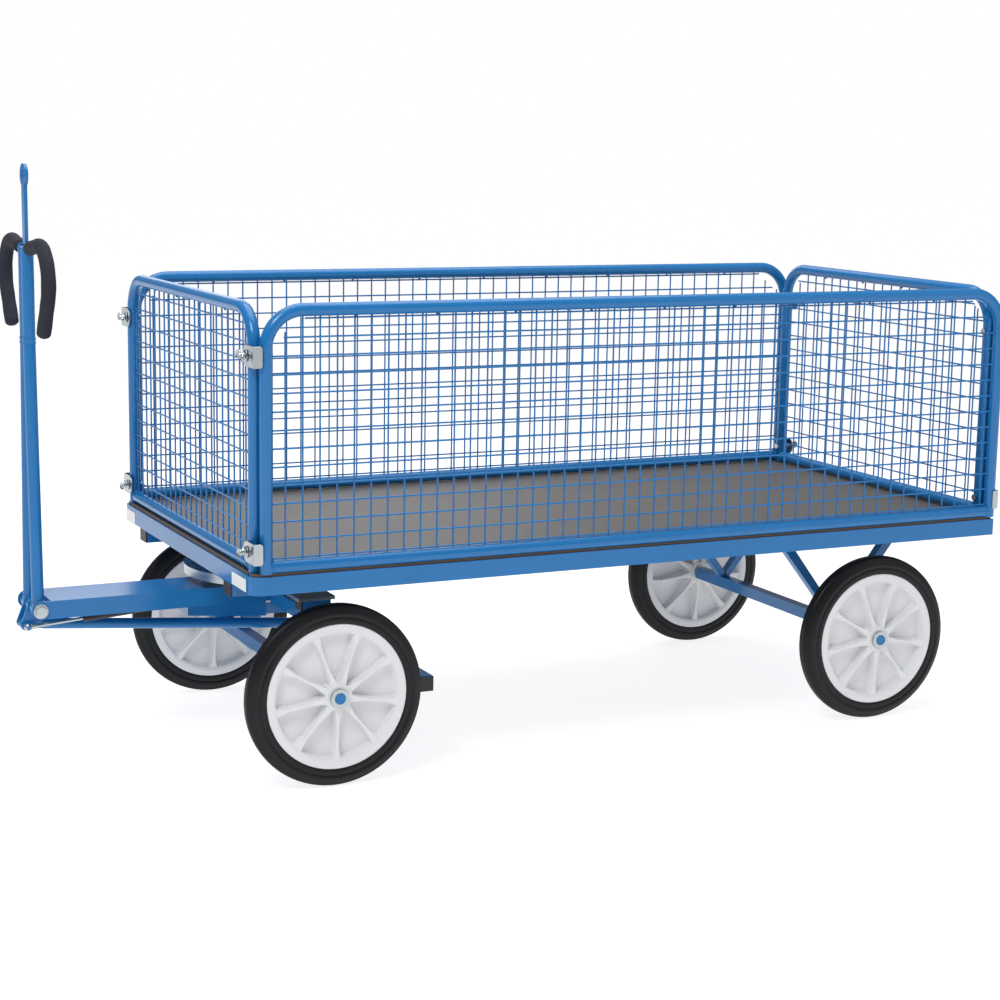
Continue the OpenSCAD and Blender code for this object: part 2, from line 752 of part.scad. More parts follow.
// Channel open at the bottom, its flanges rounded round the pivot, with a box brace below
module arm_channel() {
    nose = arm_h / 2;
    color(blue) in_place() difference() {
        union() {
            box([web_front, -arm_w / 2, arm_top - arm_t], [arm_rear, arm_w / 2, arm_top]);
            both_sides() {
                box([pivot_x, arm_w / 2 - arm_t, arm_low], [arm_rear, arm_w / 2, arm_top]);
                rod_y(pivot_x, arm_low + nose, arm_w / 2 - arm_t, arm_w / 2, arm_h);
            }
            translate([0, brace_w / 2, 0]) rotate([90, 0, 0]) linear_extrude(brace_w) polygon([
                [brace_front + 24, arm_low + 1], [brace_front, arm_low], [brace_front, arm_low - brace_drop_front],
                [brace_rear, arm_low - brace_drop_rear], [brace_rear, arm_low + 1]
            ]);
            box([brace_front + 24, -arm_w / 2, arm_low], [brace_rear, arm_w / 2, arm_low + arm_t]);
            box([pivot_x + gas_back - 10, gas_y + 4.5, pivot_z - gas_rear_drop - 9],
                [pivot_x + gas_back + 10, gas_y + 8.5, arm_top]);
            box([front_axle_x - plate_w / 2, -arm_w / 4, arm_top], [front_axle_x + plate_w / 2, arm_w / 4, plate_low]);
        }
        rod_y(pivot_x, pivot_z, -arm_w, arm_w, pivot_d + 2 * run);
    }
}

// Bolt with a round-cornered head, washers outside both flanges, and a nut on the far side
module pivot_bolt() {
    half = arm_w / 2;
    color(zinc) in_place() translate([pivot_x, 0, pivot_z]) {
        rod_y(0, 0, -half - 3, half + 16, pivot_d);
        for (s = [-1, 1]) difference() {
            rod_y(0, 0, s < 0 ? -half - 3 : half + 0.05, s < 0 ? -half - 0.05 : half + 3, 34);
            rod_y(0, 0, -arm_w, arm_w, pivot_d - 0.2);
        }
        translate([0, -half - 3, 0]) rotate([90, 30, 0]) cylinder(d = 27.7, h = 10, $fn = 6);
        translate([0, half + 16, 0]) rotate([90, 30, 0]) cylinder(d = 27.7, h = 13, $fn = 6);
    }
}

// ---------- drawbar ----------

module drawbar_frame() {
    lean = atan2(foot_pitch / 2 - join_y, join_h);
    run_l = norm([foot_pitch / 2 - join_y, join_h]);
    pivot = [pivot_x, pivot_z];
    lever = [lever_x, lever_z];
    color(blue) in_place() difference() {
        union() {
            rod_y(pivot_x, pivot_z, -foot_l / 2, foot_l / 2, 2 * foot_r);
            both_sides() {
                translate([pivot_x, foot_pitch / 2, pivot_z]) rotate([lean, 0, 0]) cylinder(d = bar_d, h = run_l - 2);
                translate([pivot_x, join_y, pivot_z + join_h - 6]) cylinder(d = bar_d + 1.2, h = 12);
                translate([pivot_x, join_y, pivot_z + join_h + 2]) cylinder(d = bar_d, h = bar_top - join_h - 2);
                link_plate(pivot, lever, foot_r + 3, lever_eye_r, lever_y, lever_y + lever_t);
            }
            box([pivot_x - bar_d * 0.36, -bar_d * 0.78, pivot_z + bar_top],
                [pivot_x + bar_d * 0.36, bar_d * 0.78, pivot_z + bar_top + cap_plate]);
            rod_y(lever_x, lever_z, gas_y + ball_r + hair, lever_y + lever_t + 3, pin_d);
            rod_y(lever_x, lever_z, gas_y - ball_r - 3, 0, gas_pin_d);
        }
        rod_y(pivot_x, pivot_z, -arm_w, arm_w, pivot_d + 2 * run);
        both_sides() translate([pivot_x, foot_pitch / 2, pivot_z]) rotate([lean, 0, 0])
            translate([0, 0, 3]) cylinder(d = bar_d - 5, h = run_l - 15);
    }
}

module towing_eye() {
    low = pivot_z + bar_top + cap_plate;
    eye = pivot_z + drawbar_l;
    color(blue) in_place() difference() {
        union() {
            box([pivot_x - eye_t / 2, -eye_bar_w / 2, low], [pivot_x + eye_t / 2, eye_bar_w / 2, eye - eye_hole / 2 - 2]);
            rod_x(pivot_x - eye_t / 2, pivot_x + eye_t / 2, 0, eye, eye_d);
        }
        rod_x(pivot_x - eye_t, pivot_x + eye_t, 0, eye, eye_hole);
    }
}

// Centre line of one handle: out with a slight rise, over a bend, then down and inward
module handle_path(d, from, tail) {
    rise = handle_rise;
    turn = handle_turn - rise;
    translate([pivot_x, 0, handle_z]) rotate([90, 0, 90]) {
        y0 = join_y;
        bend = [handle_out, (handle_out - y0) * tan(rise)];
        centre = bend + handle_r * [sin(rise), -cos(rise)];
        tip = centre + handle_r * [sin(turn), cos(turn)];
        translate([y0, 0]) rotate(rise) translate([from, 0, 0]) rotate([0, 90, 0])
            cylinder(d = d, h = (handle_out - y0) / cos(rise) - from, $fn = 32);
        translate(centre) rotate(90 - turn) rotate_extrude(angle = turn - rise) translate([handle_r, 0]) circle(d = d, $fn = 32);
        translate(tip) rotate(-turn) rotate([0, 90, 0]) cylinder(d = d, h = tail, $fn = 32);
    }
}

module handle_bar() {
    color(blue) in_place() both_sides() difference() {
        handle_path(handle_d, 0, handle_tail - 4);
        translate([pivot_x, join_y, pivot_z]) cylinder(d = bar_d + 0.02, h = drawbar_l);
    }
}

module grips() {
    color(dark_plastic) in_place() both_sides() difference() {
        handle_path(grip_d, 26, handle_tail);
        handle_path(handle_d + 0.02, -1, handle_tail - 4);
    }
}

// ---------- gas spring ----------

gas_front = [lever_x, lever_z];
gas_rear = [pivot_x + gas_back, pivot_z - gas_rear_drop];
gas_len = norm(gas_rear - gas_front);
gas_tilt = atan2(gas_rear[1] - gas_front[1], gas_rear[0] - gas_front[0]);

// Along the gas spring: children run from its front ball towards its rear eye
module along_gas() { translate([lever_x, gas_y, lever_z]) rotate([0, -gas_tilt, 0]) children(); }

module gas_rod() {
    color(zinc) in_place() along_gas() difference() {
        union() {
            sphere(r = ball_r);
            rod_x(ball_r - 2, ball_r + 12, 0, 0, gas_rod_d + 5);
            rod_x(ball_r, gas_rod_l + 60, 0, 0, gas_rod_d);
        }
        rod_y(0, 0, -30, 30, gas_pin_d + 2 * run);
    }
}

module gas_cylinder() {
    color(dark_plastic) in_place() along_gas() difference() {
        union() {
            rod_x(gas_rod_l, gas_len - 30, 0, 0, gas_d);
            rod_x(gas_len - 31, gas_len - 8, 0, 0, gas_rod_d);
            rod_y(gas_len, 0, -3, 3, 2 * ball_r);
        }
        rod_x(gas_rod_l - 1, gas_len - 38, 0, 0, gas_rod_d + 2 * run);
        rod_y(gas_len, 0, -10, 10, gas_rod_d);
    }
}

// ---------- brake ----------

brake_front = [lever_x, lever_z];
brake_rear = [lug_x, lug_z];
brake_len = norm(brake_rear - brake_front);
brake_tilt = atan2(brake_rear[1] - brake_front[1], brake_rear[0] - brake_front[0]);

module brake_tube() {
    color(blue) in_place() translate([lever_x, 0, lever_z]) rotate([0, -brake_tilt, 0]) difference() {
        union() {
            link_plate([0, 0], [60, 0], lever_eye_r - 1, brake_tube_d / 2 - 2, -5, 5);
            rod_x(45, brake_len - 40, 0, 0, brake_tube_d);
            link_plate([brake_len, 0], [brake_len - 60, 0], lever_eye_r - 1, brake_tube_d / 2 - 2, -4, 4);
        }
        rod_y(0, 0, -20, 20, pin_d + 2 * run);
        rod_y(brake_len, 0, -20, 20, 10);
    }
}

// Brake bar with two slides, and two lugs beside the pull tube's rear end
module brake_bar() {
    half = brake_l / 2 - cap_t;
    front = front_axle_x - 40;
    color(blue) in_place() {
        tube_y(brake_x, -half, half, brake_z, brake_sq, brake_sq, tube_wall_sq);
        both_sides() {
            box([front, guide_y - guide_t / 2, guide_low], [brake_x + brake_sq / 2, guide_y + guide_t / 2, guide_low + guide_h]);
            box([brake_x - brake_sq / 2, guide_y - guide_t / 2, brake_z + brake_sq / 2],
                [brake_x + brake_sq / 2, guide_y + guide_t / 2, guide_low + 1]);
            box([lug_x - 16, 4 + lug_gap, brake_z + brake_sq / 2], [lug_x + 16, 9 + lug_gap, lug_z + 14]);
        }
    }
}

module brake_caps() {
    color(dark_plastic) in_place() both_sides() translate([brake_x, brake_l / 2 - cap_t, brake_z])
        rotate(-90) end_cap_x(brake_sq, brake_sq);
}

// ---------- wheels ----------

// Rim round the Y axis at the origin, outer face towards -Y
module rim() {
    w = tyre_w / 2;
    in = rim_r - barrel_t;
    rotate([90, 0, 0]) difference() {
        union() {
            rotate_extrude($fn = 96) polygon([
                [hub_d / 2 - 4, -web_t / 2], [in - 3, -web_t / 2], [in, -w + 2], [in + 3, -w], [rim_r, -w],
                [rim_r, w], [in + 3, w], [in, w - 2], [in - 3, web_t / 2], [hub_d / 2 - 4, web_t / 2]
            ]);
            translate([0, 0, -(hub_l - (hub_out - wheel_y))]) cylinder(d = hub_d, h = hub_l);
            for (i = [0 : spokes - 1]) rotate(-90 + i * 360 / spokes)
                translate([hub_d / 2 - 3, -spoke_w / 2, -w + 7]) cube([in - hub_d / 2 + 3.5, spoke_w, 2 * w - 14]);
        }
        translate([0, 0, -hub_l]) cylinder(d = axle_d + 2 * run, h = 2 * hub_l);
    }
}

// Solid tyre with ribbed shoulders and a step on each sidewall
module tyre() {
    w = tyre_w / 2;
    rotate([90, 0, 0]) rotate_extrude($fn = 128) polygon([
        [rim_r + 0.01, -w], [rim_r + 8, -w - 1], [rim_r + 18, -w + 0.5], [rim_r + 19, -w - 0.5], [tyre_r - 14, -w + 1],
        [tyre_r - 7, -w + 5], [tyre_r - 2.5, -w + 11], [tyre_r, -w + 19],
        [tyre_r, w - 19], [tyre_r - 2.5, w - 11], [tyre_r - 7, w - 5],
        [tyre_r - 14, w - 1], [rim_r + 19, w + 0.5], [rim_r + 18, w - 0.5], [rim_r + 8, w + 1], [rim_r + 0.01, w]
    ]);
}

module wheel_at(x, s) { in_place() translate([x, s * wheel_y, axle_z]) scale_y(-s) children(); }

module rim_front_near() { color(rim_white) wheel_at(front_axle_x, -1) rim(); }
module rim_front_far() { color(rim_white) wheel_at(front_axle_x, 1) rim(); }
module rim_rear_near() { color(rim_white) wheel_at(rear_axle_x, -1) rim(); }
module rim_rear_far() { color(rim_white) wheel_at(rear_axle_x, 1) rim(); }
module tyre_front_near() { color(rubber) wheel_at(front_axle_x, -1) tyre(); }
module tyre_front_far() { color(rubber) wheel_at(front_axle_x, 1) tyre(); }
module tyre_rear_near() { color(rubber) wheel_at(rear_axle_x, -1) tyre(); }
module tyre_rear_far() { color(rubber) wheel_at(rear_axle_x, 1) tyre(); }

deck_frame();
corner_sockets();
deck_board();
cross_members();
deck_rails();
rail_caps();
ring_bearers();
ring_upper();
race_balls();
rear_axle();
rear_struts();
rear_collars();
blank_labels();
front_panel_frame();
rear_panel_frame();
near_panel_frame();
far_panel_frame();
front_mesh();
rear_mesh();
near_mesh();
far_mesh();
front_clamps();
rear_clamps();
front_clamp_bolts();
rear_clamp_bolts();
knob_front_near_low();
knob_front_near_high();
knob_front_far_low();
knob_front_far_high();
knob_rear_near_low();
knob_rear_near_high();
knob_rear_far_low();
knob_rear_far_high();
ring_lower();
ring_plate();
side_bearers();
bearer_caps();
bogie_frame();
front_axle();
arm_channel();
pivot_bolt();
front_collars();
drawbar_frame();
towing_eye();
handle_bar();
grips();
gas_rod();
gas_cylinder();
brake_tube();
brake_bar();
brake_caps();
rim_front_near();
tyre_front_near();
rim_front_far();
tyre_front_far();
rim_rear_near();
tyre_rear_near();
rim_rear_far();
tyre_rear_far();
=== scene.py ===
"""Looks of the platform truck with mesh panels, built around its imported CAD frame."""

import json
import math

import bmesh
import bpy
from mathutils import Matrix, Vector


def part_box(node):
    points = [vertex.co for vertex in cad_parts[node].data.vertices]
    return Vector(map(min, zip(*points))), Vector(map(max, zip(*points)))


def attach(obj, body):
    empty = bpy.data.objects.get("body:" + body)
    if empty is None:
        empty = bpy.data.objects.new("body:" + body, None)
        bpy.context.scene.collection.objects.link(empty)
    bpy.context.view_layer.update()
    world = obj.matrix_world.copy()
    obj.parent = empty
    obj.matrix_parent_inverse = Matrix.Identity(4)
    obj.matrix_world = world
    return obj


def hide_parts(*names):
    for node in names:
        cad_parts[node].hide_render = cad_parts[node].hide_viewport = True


bl_info = {
    "name": "Platform truck with mesh panels",
    "version": (1, 0, 0),
    "blender": (4, 5, 0),
    "location": "View3D > Sidebar > Truck",
    "description": "Finishes and moulded pieces of a turntable truck with wire-mesh panels",
    "category": "Object",
}

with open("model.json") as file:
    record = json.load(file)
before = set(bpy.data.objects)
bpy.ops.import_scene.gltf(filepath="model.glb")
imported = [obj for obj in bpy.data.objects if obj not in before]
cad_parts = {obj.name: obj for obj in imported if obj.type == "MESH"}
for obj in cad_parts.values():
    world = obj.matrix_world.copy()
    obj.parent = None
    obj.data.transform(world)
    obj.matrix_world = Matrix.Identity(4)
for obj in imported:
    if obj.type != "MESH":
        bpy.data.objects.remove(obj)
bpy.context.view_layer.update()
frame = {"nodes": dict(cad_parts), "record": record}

CORNERS = [(end, side) for end in ("front", "rear") for side in ("near", "far")]

# Fixed sizes of the steelwork and the wheels, in metres
TUBE_R = 0.0145          # panel tubes
BEND_R = 0.085           # bends of the panel tubes
TUBE_EDGE = 0.0008       # rounding at the feet of the panel tubes
CLAMP_HEIGHT = 0.047
CLAMP_SHEET = 0.003
CLAMP_PAST_POST = 0.026  # from the bolt to the clamp's rounded end
RIVET_INSET = 0.0178     # from the clamp's lip to its small hole
FOOT_PITCH = 0.086       # between the drawbar's two feet
JOIN_Y = 0.0142          # each bar's centre line where the two bars meet
JOIN_UP = 0.612          # from the pivot to that joint
HANDLES_UP = 0.816       # from the pivot to the handles
GRIP_START = 0.026       # along the handle to the foam
SPOKES = 9
BORE_R = 0.0126
BOSS_R = 0.031
BOSS_OUT = 0.034         # hub ends, from the middle of the tyre
BOSS_IN = 0.044
FLANGE_IN = 0.1505
FLANGE_OUT = 0.1668
FLANGE_UP = 0.0255       # the flange's face, from the middle of the tyre


# ---------- sizes and colours ----------

class TruckColours(bpy.types.PropertyGroup):
    paint: bpy.props.FloatVectorProperty(
        name="Powder coat", description="Blue of every painted steel piece",
        subtype="COLOR", size=3, min=0, max=1, default=(0.008, 0.160, 0.430))
    board: bpy.props.FloatVectorProperty(
        name="Board film", description="Brown film on the plywood",
        subtype="COLOR", size=3, min=0, max=1, default=(0.105, 0.096, 0.090))
    zinc: bpy.props.FloatVectorProperty(
        name="Zinc plate", description="Bright zinc on clamps, bolts and collars",
        subtype="COLOR", size=3, min=0, max=1, default=(0.47, 0.51, 0.53))
    rim: bpy.props.FloatVectorProperty(
        name="Rim plastic", description="White of the moulded rims",
        subtype="COLOR", size=3, min=0, max=1, default=(0.76, 0.765, 0.78))
    rubber: bpy.props.FloatVectorProperty(
        name="Tyre rubber", description="Black of the solid tyres",
        subtype="COLOR", size=3, min=0, max=1, default=(0.0045, 0.0050, 0.0065))
    foam: bpy.props.FloatVectorProperty(
        name="Grip foam", description="Black of the foam grips",
        subtype="COLOR", size=3, min=0, max=1, default=(0.024, 0.026, 0.038))
    plastic: bpy.props.FloatVectorProperty(
        name="Cap plastic", description="Black of the tube caps",
        subtype="COLOR", size=3, min=0, max=1, default=(0.010, 0.011, 0.014))


class TruckSizes(bpy.types.PropertyGroup):
    edge_round: bpy.props.FloatProperty(
        name="Edge rounding", description="Rounding of sawn and pressed edges",
        default=0.0008, min=0.0002, max=0.002, unit="LENGTH")
    weld_bead: bpy.props.FloatProperty(
        name="Weld bead", description="Radius of the weld beads",
        default=0.0022, min=0.001, max=0.004, unit="LENGTH")
    web_depth: bpy.props.FloatProperty(
        name="Web depth", description="How far the rim's web lies behind its flange",
        default=0.021, min=0.006, max=0.024, unit="LENGTH")
    tread_groove: bpy.props.FloatProperty(
        name="Tread groove", description="Depth of the ribs round the tyre",
        default=0.0011, min=0.0004, max=0.002, unit="LENGTH")
    wing_lift: bpy.props.FloatProperty(
        name="Knob wing tilt", description="How far the knobs' wings are bent outwards",
        default=math.radians(14), min=0.0, max=math.radians(60), unit="ROTATION")
    grip_radius: bpy.props.FloatProperty(
        name="Grip radius", description="Outside radius of the foam grips",
        default=0.0165, min=0.014, max=0.018, unit="LENGTH")


# ---------- finishes ----------

def new_finish(name):
    """A material with a Principled shader, and a function that adds nodes to it."""
    made = bpy.data.materials.new(name)
    made.use_nodes = True
    tree = made.node_tree
    shader = tree.nodes["Principled BSDF"]

    def add(kind, links=(), **values):
        node = tree.nodes.new(kind)
        for key, value in values.items():
            if hasattr(node, key):
                setattr(node, key, value)
            else:
                node.inputs[key.replace("_", " ")].default_value = value
        for source, socket in links:
            tree.links.new(source, node.inputs[socket])
        return node

    def wire(source, socket):
        tree.links.new(source, shader.inputs[socket])

    return made, shader, add, wire


def mottled(add, wire, colour, place, scale, spread):
    """Colour that drifts a little over the surface."""
    cloud = add("ShaderNodeTexNoise", [(place, "Vector")], Scale=scale, Detail=4.0, Roughness=0.6)
    blend = add("ShaderNodeMix", [(cloud.outputs["Fac"], "Factor")], data_type="RGBA")
    blend.inputs[6].default_value = [max(0.0, c * (1 - spread)) for c in colour] + [1]
    blend.inputs[7].default_value = [min(1.0, c * (1 + spread)) for c in colour] + [1]
    wire(blend.outputs[2], "Base Color")
    return cloud, blend


def ranged(add, source, low, high):
    return add("ShaderNodeMapRange", [(source, "Value")], To_Min=low, To_Max=high).outputs["Result"]


def grain_bump(add, wire, height, strength, distance):
    bump = add("ShaderNodeBump", [(height, "Height")], Strength=strength, Distance=distance)
    wire(bump.outputs["Normal"], "Normal")


def powder_coat(colour):
    made, shader, add, wire = new_finish("powder_coat_blue")
    place = add("ShaderNodeTexCoord").outputs["Object"]
    cloud, _ = mottled(add, wire, colour, place, 7.0, 0.10)
    wire(ranged(add, cloud.outputs["Fac"], 0.16, 0.27), "Roughness")
    peel = add("ShaderNodeTexNoise", [(place, "Vector")], Scale=420.0, Detail=2.0)
    grain_bump(add, wire, peel.outputs["Fac"], 0.10, 0.0004)
    shader.inputs["Specular IOR Level"].default_value = 0.40
    shader.inputs["Coat Weight"].default_value = 0.12
    shader.inputs["Coat Roughness"].default_value = 0.10
    return made


def filmed_board(colour):
    made, _, add, wire = new_finish("film_faced_plywood")
    place = add("ShaderNodeTexCoord").outputs["Object"]
    stretch = add("ShaderNodeMapping", [(place, "Vector")], Scale=(1.2, 9.0, 9.0))
    cloud = add("ShaderNodeTexNoise", [(stretch.outputs["Vector"], "Vector")],
                Scale=5.0, Detail=6.0, Roughness=0.65)
    film = add("ShaderNodeMix", [(cloud.outputs["Fac"], "Factor")], data_type="RGBA")
    film.inputs[6].default_value = [c * 0.80 for c in colour] + [1]
    film.inputs[7].default_value = [c * 1.22 for c in colour] + [1]
    # plies show where the board was sawn
    plies = add("ShaderNodeTexWave", [(place, "Vector")], bands_direction="Z", Scale=105.0, Distortion=0.6)
    sawn = add("ShaderNodeMix", [(plies.outputs["Fac"], "Factor")], data_type="RGBA")
    sawn.inputs[6].default_value = (0.085, 0.050, 0.030, 1)
    sawn.inputs[7].default_value = (0.190, 0.120, 0.070, 1)
    facing = add("ShaderNodeSeparateXYZ", [(add("ShaderNodeNewGeometry").outputs["Normal"], "Vector")])
    flat = add("ShaderNodeMath", [(facing.outputs["Z"], 0)], operation="ABSOLUTE")
    both = add("ShaderNodeMix", [(flat.outputs[0], "Factor"), (sawn.outputs[2], 6), (film.outputs[2], 7)],
               data_type="RGBA")
    wire(both.outputs[2], "Base Color")
    warp = add("ShaderNodeTexWave", [(place, "Vector")], bands_direction="X", Scale=120.0)
    weft = add("ShaderNodeTexWave", [(place, "Vector")], bands_direction="Y", Scale=120.0)
    screen = add("ShaderNodeMath", [(warp.outputs["Fac"], 0), (weft.outputs["Fac"], 1)],
                 operation="MULTIPLY")
    grain_bump(add, wire, screen.outputs[0], 0.25, 0.0003)
    wire(ranged(add, cloud.outputs["Fac"], 0.42, 0.56), "Roughness")
    return made


def zinc_plate(colour):
    made, shader, add, wire = new_finish("bright_zinc")
    place = add("ShaderNodeTexCoord").outputs["Object"]
    cloud, _ = mottled(add, wire, colour, place, 35.0, 0.06)
    wire(ranged(add, cloud.outputs["Fac"], 0.24, 0.33), "Roughness")
    rolled = add("ShaderNodeTexNoise", [(place, "Vector")], Scale=900.0, Detail=3.0)
    grain_bump(add, wire, rolled.outputs["Fac"], 0.06, 0.0001)
    shader.inputs["Metallic"].default_value = 0.95
    return made


def moulded(name, colour, scale, spread, rough, bump_scale, strength, shine=0.5):
    """A moulded plastic or rubber with a fine grain."""
    made, shader, add, wire = new_finish(name)
    place = add("ShaderNodeTexCoord").outputs["Object"]
    cloud, _ = mottled(add, wire, colour, place, scale, spread)
    wire(ranged(add, cloud.outputs["Fac"], *rough), "Roughness")
    grain = add("ShaderNodeTexNoise", [(place, "Vector")], Scale=bump_scale, Detail=3.0)
    grain_bump(add, wire, grain.outputs["Fac"], strength, 0.0005)
    shader.inputs["Specular IOR Level"].default_value = shine
    return made


def foam_skin(colour):
    made, shader, add, wire = new_finish("foam_rubber")
    place = add("ShaderNodeTexCoord").outputs["Object"]
    cloud, _ = mottled(add, wire, colour, place, 40.0, 0.35)
    wire(ranged(add, cloud.outputs["Fac"], 0.78, 0.95), "Roughness")
    pores = add("ShaderNodeTexVoronoi", [(place, "Vector")], Scale=900.0)
    grain_bump(add, wire, pores.outputs["Distance"], 0.35, 0.0006)
    shader.inputs["Specular IOR Level"].default_value = 0.3
    return made


def make_finishes(colours):
    return {
        "blue_paint": powder_coat(colours.paint),
        "plywood": filmed_board(colours.board),
        "zinc_plate": zinc_plate(colours.zinc),
        "black_plastic": moulded("tube_cap_plastic", colours.plastic, 25.0, 0.25, (0.40, 0.55),
                                 1400.0, 0.25),
        "black_foam": foam_skin(colours.foam),
        "white_plastic": moulded("moulded_rim_white", colours.rim, 12.0, 0.025, (0.38, 0.50), 700.0, 0.08),
        "white_label": moulded("plain_sticker", (0.86, 0.86, 0.86), 30.0, 0.03, (0.30, 0.40), 500.0, 0.05),
        "black_rubber": moulded("tyre_rubber", colours.rubber, 18.0, 0.30, (0.30, 0.48), 900.0, 0.25, 0.30),
    }


FINISH_NAMES = {
    "blue_paint": "powder_coat_blue", "plywood": "film_faced_plywood", "zinc_plate": "bright_zinc",
    "black_plastic": "tube_cap_plastic", "black_foam": "foam_rubber", "white_plastic": "moulded_rim_white",
    "white_label": "plain_sticker", "black_rubber": "tyre_rubber",
}


def finish(slot):
    return bpy.data.materials[FINISH_NAMES[slot]]


# ---------- meshes ----------

def mesh_from(name, points, faces, smooth_angle=math.radians(35)):
    mesh = bpy.data.meshes.new(name)
    mesh.from_pydata([tuple(p) for p in points], [], faces)
    mesh.validate()
    shape = bmesh.new()
    shape.from_mesh(mesh)
    bmesh.ops.recalc_face_normals(shape, faces=shape.faces)
    shape.to_mesh(mesh)
    shape.free()
    for face in mesh.polygons:
        face.use_smooth = True
    mesh.set_sharp_from_angle(angle=smooth_angle)
    return mesh


def place_piece(name, mesh, slot, body, replaced=()):
    """Puts a mesh in the scene as a piece that rides on a body and stands for CAD nodes."""
    piece = bpy.data.objects.new(name, mesh)
    bpy.context.scene.collection.objects.link(piece)
    mesh.materials.clear()
    mesh.materials.append(finish(slot))
    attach(piece, body)
    if replaced:
        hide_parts(*replaced)
    return piece


def join_parts(parts):
    """One list of points and faces from several."""
    points, faces = [], []
    for part_points, part_faces in parts:
        start = len(points)
        points += [Vector(p) for p in part_points]
        faces += [tuple(i + start for i in face) for face in part_faces]
    return points, faces


def moved(part, matrix):
    points, faces = part
    return [matrix @ Vector(p) for p in points], faces


def lathe(profile, turns=96, closed=True):
    """Turns (radius, along) points about the Y axis."""
    count = len(profile)
    points, faces = [], []
    for k in range(turns):
        angle = 2 * math.pi * k / turns
        for radius, along in profile:
            points.append(Vector((radius * math.cos(angle), along, radius * math.sin(angle))))
    last = count if closed else count - 1
    for k in range(turns):
        a, b = k * count, ((k + 1) % turns) * count
        for i in range(last):
            j = (i + 1) % count
            faces.append((a + i, a + j, b + j, b + i))
    return points, faces


def sweep(path, radii, sides=24, side_axis=Vector((0, 1, 0)), closed=False):
    """A round section carried along a path that lies square to side_axis, with capped ends."""
    count = len(path)
    points, faces = [], []
    for k, point in enumerate(path):
        before = path[k - 1] if k or closed else path[k]
        after = path[(k + 1) % count] if k < count - 1 or closed else path[k]
        run = (after - before).normalized()
        out = side_axis.cross(run).normalized()
        for i in range(sides):
            angle = 2 * math.pi * i / sides
            points.append(point + radii[k] * (math.cos(angle) * out + math.sin(angle) * side_axis))
    for k in range(count if closed else count - 1):
        a, b = k * sides, ((k + 1) % count) * sides
        for i in range(sides):
            j = (i + 1) % sides
            faces.append((a + i, b + i, b + j, a + j))
    if not closed:
        faces.append(tuple(range(sides)))
        faces.append(tuple(reversed(range((count - 1) * sides, count * sides))))
    return points, faces


def weld_ring(centre, axis, radius, bead, ripples=26):
    """A rippled weld bead round a tube."""
    axis = Vector(axis).normalized()
    helper = Vector((1, 0, 0)) if abs(axis.x) < 0.9 else Vector((0, 1, 0))
    across = axis.cross(helper).normalized()
    up = axis.cross(across)
    path, radii = [], []
    steps = ripples * 4
    for k in range(steps):
        angle = 2 * math.pi * k / steps
        path.append(Vector(centre) + radius * (math.cos(angle) * across + math.sin(angle) * up))
        radii.append(bead * (1 + 0.16 * math.cos(ripples * angle)))
    return sweep(path, radii, sides=8, side_axis=axis, closed=True)


def arc(centre, radius, start, stop, steps, flat):
    """Points of an arc; flat turns a plane point into a 3-D one."""
    made = []
    for k in range(steps + 1):
        angle = start + (stop - start) * k / steps
        made.append(flat(centre[0] + radius * math.cos(angle), centre[1] + radius * math.sin(angle)))
    return made


def middle(node):
    low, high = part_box(node)
    return (Vector(low) + Vector(high)) / 2


# ---------- wheels ----------

def smooth_step(low, high, value):
    t = min(1.0, max(0.0, (value - low) / (high - low)))
    return t * t * (3 - 2 * t)


def rim_height(radius, angle, web_depth, boss):
    """How far the rim's face stands out at a point, measured from the middle of the tyre."""
    web = FLANGE_UP - web_depth
    step = 2 * math.pi / SPOKES
    off = abs((angle + math.pi / 2 + step / 2) % step - step / 2) * radius
    ends = max(0.0, (radius - 0.088) / 0.055)
    half = 0.0026 + 0.0066 * ends ** 2.4 + 0.0050 * max(0.0, (0.072 - radius) / 0.036) ** 1.2
    root = boss - 0.004
    crest = root + (FLANGE_UP - 0.0028 - root) * smooth_step(0.030, 0.146, radius)
    spoke = web + (crest - web) * (1 - smooth_step(half, half + 0.0030, off))
    hub = web + (boss - web) * (1 - smooth_step(BOSS_R, BOSS_R + 0.0055, radius))
    wall = web + (FLANGE_UP - 0.0016 - web) * smooth_step(FLANGE_IN - 0.0105, FLANGE_IN - 0.0035, radius)
    return max(spoke, hub, wall)


def rim_part(web_depth):
    """Both faces of the rim as polar grids, joined round the outside and through the bore."""
    radii = [BORE_R, 0.018, 0.024, 0.029, 0.0310, 0.0325, 0.0340, 0.0355, 0.0370, 0.039]
    radii += [0.042 + 0.0035 * k for k in range(28)]
    radii += [0.1395, 0.1412, 0.1430, 0.1448, 0.1466, 0.1485, 0.1503]
    radii += [0.1508, 0.1540, 0.1620, 0.1655, FLANGE_OUT]
    turns = SPOKES * 48
    points, faces = [], []
    rings = len(radii)
    for sign, boss in ((-1, BOSS_OUT), (1, BOSS_IN)):
        for k in range(turns):
            angle = 2 * math.pi * k / turns
            for radius in radii:
                if radius >= FLANGE_IN:
                    height = FLANGE_UP if radius < 0.166 else FLANGE_UP - 0.0009
                else:
                    height = rim_height(radius, angle, web_depth, boss)
                points.append((radius * math.cos(angle), sign * height, radius * math.sin(angle)))
    half = turns * rings
    for k in range(turns):
        a, b = k * rings, ((k + 1) % turns) * rings
        for i in range(rings - 1):
            faces.append((a + i, a + i + 1, b + i + 1, b + i))
            faces.append((half + a + i, half + b + i, half + b + i + 1, half + a + i + 1))
        faces.append((a, b, half + b, half + a))
        faces.append((a + rings - 1, half + a + rings - 1, half + b + rings - 1, b + rings - 1))
    return points, faces


